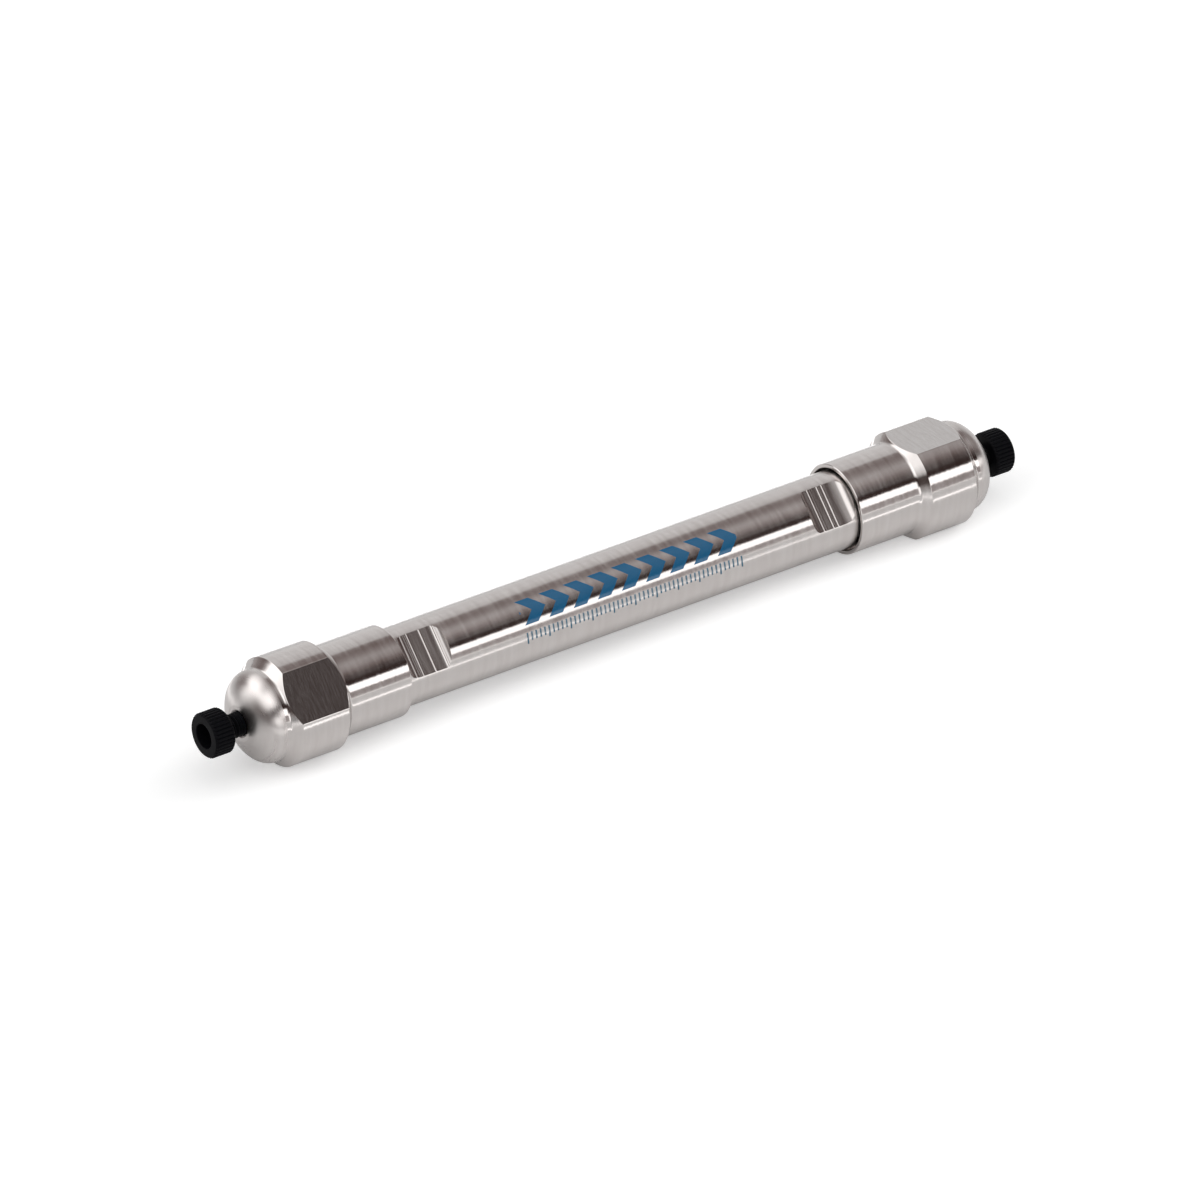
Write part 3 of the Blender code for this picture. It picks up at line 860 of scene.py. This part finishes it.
def flow_marks(nodes, place):
    """Masks of a printed flow direction: a row of bold chevrons, and a fine scale under it."""
    parts = nodes.parts(place)
    angle = nodes.angle_over(parts)
    inside = nodes.math("LESS_THAN", nodes.math("ABSOLUTE", parts[0]), PRINT_HALF_LENGTH)

    middle = (CHEVRON_LOW + CHEVRON_HIGH) / 2
    half = (CHEVRON_HIGH - CHEVRON_LOW) / 2
    lift = nodes.math("ABSOLUTE", nodes.math("DIVIDE", nodes.math("SUBTRACT", angle, middle), half))
    in_row = nodes.math("LESS_THAN", lift, 1.0)
    slanted = nodes.math("DIVIDE", nodes.math("MULTIPLY_ADD", lift, CHEVRON_SLANT, parts[0]), CHEVRON_PITCH)
    turns = nodes.math("FRACT", nodes.math("ADD", slanted, STEPS_TO_POSITIVE))
    bar = nodes.math("LESS_THAN", turns, CHEVRON_SHARE)
    bold = nodes.math("MULTIPLY", nodes.math("MULTIPLY", inside, in_row), bar)

    counted = nodes.math("ADD", parts[0], STEPS_TO_POSITIVE * TICK_PITCH)
    thin = nodes.math("LESS_THAN", nodes.math("PINGPONG", counted, TICK_PITCH / 2), TICK_HALF_WIDTH)
    group = LONG_TICK_EVERY * TICK_PITCH
    counted = nodes.math("ADD", parts[0], STEPS_TO_POSITIVE * group)
    is_short = nodes.math("GREATER_THAN", nodes.math("PINGPONG", counted, group / 2), TICK_PITCH / 2)
    above = nodes.math("GREATER_THAN", angle, nodes.remap(is_short, 0.0, 1.0, SCALE_LOW, SHORT_TICK_LOW))
    below = nodes.math("LESS_THAN", angle, SCALE_HIGH)
    in_scale = nodes.math("MULTIPLY", above, below)
    fine = nodes.math("MULTIPLY", nodes.math("MULTIPLY", inside, in_scale), thin)
    return bold, fine


def brushed_flat(name, roughness, sway, tones, relief):
    """A flat brushed or milled square to the axis, with scratches of this relief and a few bright specks."""
    material, nodes = new_material(name)
    place = nodes.place()
    scratches = nodes.noise(nodes.drawn_round(place, 0.02), scale=2600.0, detail=3.0, roughness=0.7)
    grain = nodes.noise(nodes.drawn_round(place, 0.15), scale=3200.0, detail=2.0, roughness=0.7)
    near_middle = nodes.math("LESS_THAN", nodes.cells(place, SPECK_SCALE), SPECK_SIZE)
    is_speck = nodes.math("MULTIPLY", near_middle, nodes.math("GREATER_THAN", grain, 0.5))
    swaying = nodes.math("MULTIPLY_ADD", is_speck, SPECK_SWAY, scratches)
    tangent, normal = grooved_normal(nodes, swaying, sway)
    height = nodes.math("ADD", scratches, grain)
    finish_material(nodes, {
        "Base Color": nodes.mix(nodes.remap(height, 0.7, 1.3), *tones),
        "Metallic": 1.0,
        "Roughness": nodes.spread(grain, roughness - SMOOTHER, roughness + ROUGHER),
        "Normal": nodes.bump(height, 1.0, relief, Normal=normal),
        "Tangent": tangent,
        "Anisotropic": 0.7,
        "Anisotropic Rotation": QUARTER_TURN,
    })
    return material


def moulded_plastic():
    """Black moulded plastic with a fine grain and faint flow marks."""
    material, nodes = new_material("black_plastic")
    place = nodes.place()
    grain = nodes.noise(place, scale=9000.0, detail=2.0, roughness=0.6)
    cloud = nodes.noise(place, scale=700.0, detail=3.0, roughness=0.6)
    finish_material(nodes, {
        "Base Color": nodes.mix(cloud, *PLASTIC_TONES),
        "Roughness": nodes.spread(cloud, 0.38, 0.50),
        "Normal": nodes.bump(grain, 0.35, 0.01 * MM),
        "Specular IOR Level": 0.05,
    })
    return material


def sintered_metal():
    """Pressed metal grains with open pores, and painted shade where the grains meet."""
    material, nodes = new_material("sintered_metal")
    place = nodes.place()
    grains = nodes.cells(place, 9000.0)
    pores = nodes.noise(place, scale=5000.0, detail=3.0, roughness=0.6)
    height = nodes.math("SUBTRACT", nodes.math("MULTIPLY", pores, 0.8), grains)
    dark, pale = SINTER_TONE_AND_SHADE
    finish_material(nodes, {
        # Painted shade: darker towards each grain's rim, where the grains meet
        "Base Color": nodes.mix(grains, pale, dark),
        "Metallic": 1.0,
        "Roughness": nodes.spread(pores, 0.5, 0.75),
        "Normal": nodes.bump(height, 0.8, 0.05 * MM),
    })
    return material


def seal_plastic():
    """Natural engineering plastic, turned, so with fine rings."""
    material, nodes = new_material("seal_plastic")
    place = nodes.place()
    cloud = nodes.noise(place, scale=400.0, detail=3.0, roughness=0.6)
    rings = nodes.noise(nodes.drawn_round(place, 0.02), scale=5000.0, detail=2.0, roughness=0.5)
    finish_material(nodes, {
        "Base Color": nodes.mix(cloud, *SEAL_TONES),
        "Roughness": nodes.spread(cloud, 0.42, 0.56),
        "Normal": nodes.bump(rings, 0.3, 0.02 * MM),
        "Subsurface Weight": 0.1,
        "Subsurface Scale": 1.0 * MM,
    })
    return material


def packed_beads():
    """The bed: fine pale polymer beads pressed together, with painted shade in the gaps between them."""
    material, nodes = new_material("packed_beads")
    beads = nodes.cells(nodes.place(), 12000.0)
    dark, pale = BEAD_TONE_AND_SHADE
    finish_material(nodes, {
        # Painted shade: darker towards each bead's rim and in the gaps between beads
        "Base Color": nodes.mix(beads, pale, dark),
        "Roughness": 0.85,
        "Normal": nodes.bump(nodes.math("MULTIPLY", beads, -1.0), 0.6, 0.04 * MM),
    })
    return material


def make_camera():
    """Looks at the column from the photo's angle, and far enough away for its flat perspective."""
    azimuth = math.radians(CAMERA_AZIMUTH)
    elevation = math.radians(CAMERA_ELEVATION)
    back = Vector((
        math.sin(azimuth) * math.cos(elevation),
        -math.cos(azimuth) * math.cos(elevation),
        math.sin(elevation),
    ))
    right = Vector((math.cos(azimuth), math.sin(azimuth), 0.0))
    above = back.cross(right)
    middle = column_frame().translation
    target = middle - (right * COLUMN_RIGHT_OF_FRAME + above * COLUMN_ABOVE_FRAME) * PIXEL_AT_COLUMN
    data = bpy.data.cameras.new("camera")
    data.sensor_width = SENSOR_WIDTH
    data.lens = SENSOR_WIDTH * CAMERA_DISTANCE / (FRAME_PIXELS * PIXEL_AT_COLUMN)
    data.clip_start = CAMERA_NEAREST
    data.clip_end = CAMERA_FARTHEST
    camera = new_object("camera", data)
    camera.location = target + back * CAMERA_DISTANCE
    camera.rotation_mode = "QUATERNION"
    camera.rotation_quaternion = back.to_track_quat("Z", "Y")
    bpy.context.scene.camera = camera


def studio_ramp(nodes, angle, stops):
    """The studio's cards at this angle, as shares of the brightest. A stop is (degrees, brightness)."""
    ramp = nodes.add("ShaderNodeValToRGB", {0: nodes.remap(angle, -180.0, 180.0)})
    elements = ramp.color_ramp.elements
    elements.remove(elements[0])
    for number, (degrees, brightness) in enumerate(stops):
        position = (degrees + 180.0) / 360.0
        element = elements[0] if number == 0 else elements.new(position)
        element.position = position
        level = brightness / STUDIO_PEAK
        warmth = STUDIO_WARMTH * max(0.0, 1.0 - brightness) ** STUDIO_WARMTH_FALL
        element.color = (level, level * (1.0 - warmth), level * (1.0 - STUDIO_BLUE_LOSS * warmth), 1.0)
    return ramp.outputs[0]


def make_world():
    """Plain light, white for the camera, and for reflections soft studio cards with dark gaps between."""
    world = bpy.data.worlds.new("studio")
    bpy.context.scene.world = world
    world.use_nodes = True
    nodes = Nodes(world.node_tree)
    parts = nodes.parts(nodes.place("Generated"))
    angle = nodes.angle_over(parts)
    cards = studio_ramp(nodes, angle, STUDIO_ACROSS)
    for change, stops in ((TO_SIDE, STUDIO_SIDE), (TO_FAR_SIDE, STUDIO_FAR_SIDE), (TO_POLE, STUDIO_POLE)):
        cards = nodes.mix(nodes.remap(parts[0], *change), cards, studio_ramp(nodes, angle, stops))
    cards = nodes.mix(nodes.remap(parts[0], *TO_CAP), cards, STUDIO_CAP)
    path = nodes.add("ShaderNodeLightPath").outputs
    plain = nodes.add("ShaderNodeBackground", {"Color": WHITE, "Strength": PLAIN_LEVEL}).outputs[0]
    studio = nodes.add("ShaderNodeBackground", {"Color": cards, "Strength": STUDIO_PEAK}).outputs[0]
    white = nodes.add("ShaderNodeBackground", {"Color": WHITE, "Strength": 1.0}).outputs[0]
    lit = nodes.add("ShaderNodeMixShader", {0: path["Is Glossy Ray"], 1: plain, 2: studio}).outputs[0]
    shown = nodes.add("ShaderNodeMixShader", {0: path["Is Camera Ray"], 1: lit, 2: white}).outputs[0]
    nodes.add("ShaderNodeOutputWorld", {"Surface": shown})


def floor_paper():
    """Pale paper that is white to the camera and keeps the shadow. Reflections see it as the studio needs."""
    material, nodes = new_material("floor_paper")
    place = nodes.place()
    parts = nodes.parts(place)
    path = nodes.add("ShaderNodeLightPath").outputs

    beyond = nodes.remap(parts[0], -FADE_START, -FADE_END)
    faded = nodes.math("MULTIPLY", beyond, path["Is Glossy Ray"])
    kept = nodes.math("MULTIPLY_ADD", faded, -FADE_DEPTH, 1.0)

    aside = nodes.math("ABSOLUTE", parts[1])
    near = nodes.remap(aside, STRIP_NEAR - STRIP_BLUR, STRIP_NEAR + STRIP_BLUR)
    far = nodes.remap(aside, STRIP_FAR + STRIP_BLUR, STRIP_FAR - STRIP_BLUR)
    strip = nodes.math("MULTIPLY_ADD", nodes.math("MULTIPLY", near, far), STRIP_BRIGHTNESS, FLOOR_GLOSSY)
    for_glossy = nodes.math("MULTIPLY", nodes.math("MULTIPLY", strip, kept), path["Is Glossy Ray"])

    reach = nodes.vector("LENGTH", {0: place}, result="Value")
    white = nodes.remap(reach, WHITE_START, WHITE_END, FLOOR_WHITE, 1.0)
    for_camera = nodes.math("MULTIPLY", path["Is Camera Ray"], white)

    glow = nodes.math("ADD", for_glossy, for_camera)
    paper = nodes.add("ShaderNodeBsdfDiffuse", {"Color": nodes.mix(kept, BLACK, FLOOR_COLOUR)}).outputs[0]
    light = nodes.add("ShaderNodeEmission", {"Color": WHITE, "Strength": glow}).outputs[0]
    both = nodes.add("ShaderNodeAddShader", {0: paper, 1: light}).outputs[0]
    nodes.add("ShaderNodeOutputMaterial", {"Surface": both})
    return material


def make_floor():
    """A plain pale floor under the column."""
    bm = bmesh.new()
    bmesh.ops.create_grid(bm, x_segments=FLOOR_CELLS, y_segments=FLOOR_CELLS, size=FLOOR_SIZE / 2)
    mesh = new_mesh("floor", bm)
    floor = new_object("floor", mesh)
    mesh.materials.append(floor_paper())


def make_lamps():
    """Large soft lamps, which steel doesn't mirror: it sees the studio's cards."""
    for number, (spot, size, power) in enumerate(LAMPS):
        data = bpy.data.lights.new("softbox_%d" % number, "AREA")
        data.shape = "RECTANGLE"
        data.size, data.size_y = size
        data.energy = power
        lamp = new_object("softbox_%d" % number, data)
        lamp.location = spot
        lamp.rotation_mode = "QUATERNION"
        lamp.rotation_quaternion = Vector(spot).to_track_quat("Z", "Y")
        lamp.visible_glossy = False
        lamp.visible_camera = False


def main():
    """Dresses the column, and sets up the camera, the studio, the floor and the lamps."""
    nut_finishes = (
        turned_steel("nut_steel_turned", roughness=0.15, sway=0.024, smear=0.95),
        brushed_flat("nut_flat_brushed", roughness=0.17, sway=0.03, tones=BRUSHED_TONES, relief=0.008 * MM),
        turned_steel("dome_steel_satin", roughness=0.29, sway=0.015, smear=0.3),
    )
    tube_finish = turned_steel("tube_steel_turned", roughness=0.18, sway=0.02, smear=0.95, marks=True)
    tube_flat = brushed_flat(
        "tube_flat_milled", roughness=0.17, sway=0.03, tones=MILLED_TONES, relief=0.07 * MM
    )
    plastic = moulded_plastic()
    sinter = sintered_metal()
    seal = seal_plastic()
    make_tube(tube_finish, tube_flat)
    ends = (
        ("inlet", -1, INLET_PLUG_TURNS_OUT * THREAD_PITCH),
        ("outlet", 1, 0.0),
    )
    for end, side, backed_out in ends:
        facing = mount_direction(end + "_nut_flat_upper")
        make_nut(end, side, facing, nut_finishes)
        make_plug(end, side, facing, backed_out, plastic)
        make_seal(end, side, facing, sinter, seal)
    bed = frame["nodes"]["packed_bed"]
    bed.data.materials.clear()
    bed.data.materials.append(packed_beads())
    make_camera()
    make_world()
    make_floor()
    make_lamps()
    bpy.context.scene.view_settings.view_transform = "Standard"


main()
